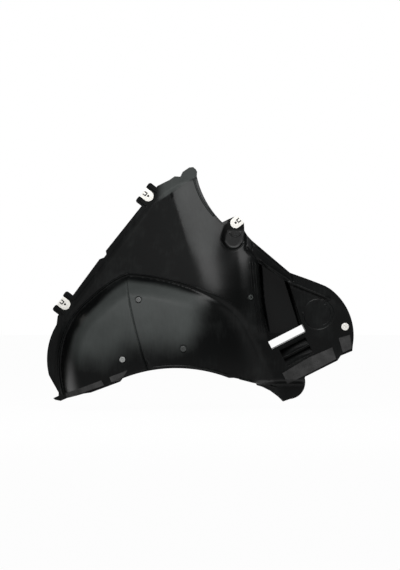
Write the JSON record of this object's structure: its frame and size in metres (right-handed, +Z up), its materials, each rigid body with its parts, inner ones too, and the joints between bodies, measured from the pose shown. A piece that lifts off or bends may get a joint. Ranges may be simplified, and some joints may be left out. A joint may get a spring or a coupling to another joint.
{
  "type": "wheel arch liner",
  "caption": "Moulded plastic wheel arch liner with a domed tyre side, fork tabs with clip nuts, a duct with an air slot, louvres and foam seal pads.",
  "frame": {"origin": "screw axis of the upper clip nut, midway through the wall that it grips", "axes": "+X to the liner's right as its face is seen, +Z up as fitted, +Y to the back of the liner, so the face looks along -Y"},
  "size_m": [0.7617, 0.1708, 0.583],
  "materials": {
    "liner_plastic": "moulded black polypropylene, satin with a fine grain",
    "clip_plastic": "moulded white nylon",
    "rivet_plastic": "moulded grey nylon",
    "seal_foam": "soft foam faced with felt"
  },
  "bodies": {
    "root": {"liner_shell": "liner_plastic", "clip_nut_upper": "clip_plastic", "clip_nut_lower": "clip_plastic", "clip_nut_front": "clip_plastic", "push_rivet_left": "rivet_plastic", "push_rivet_middle": "rivet_plastic", "push_rivet_seam": "rivet_plastic", "retainer_plug": "clip_plastic", "seal_pad_left": "seal_foam", "seal_pad_arch": "seal_foam", "seal_pad_duct": "seal_foam", "seal_pad_lobe": "seal_foam"}
  },
  "joints": []
}
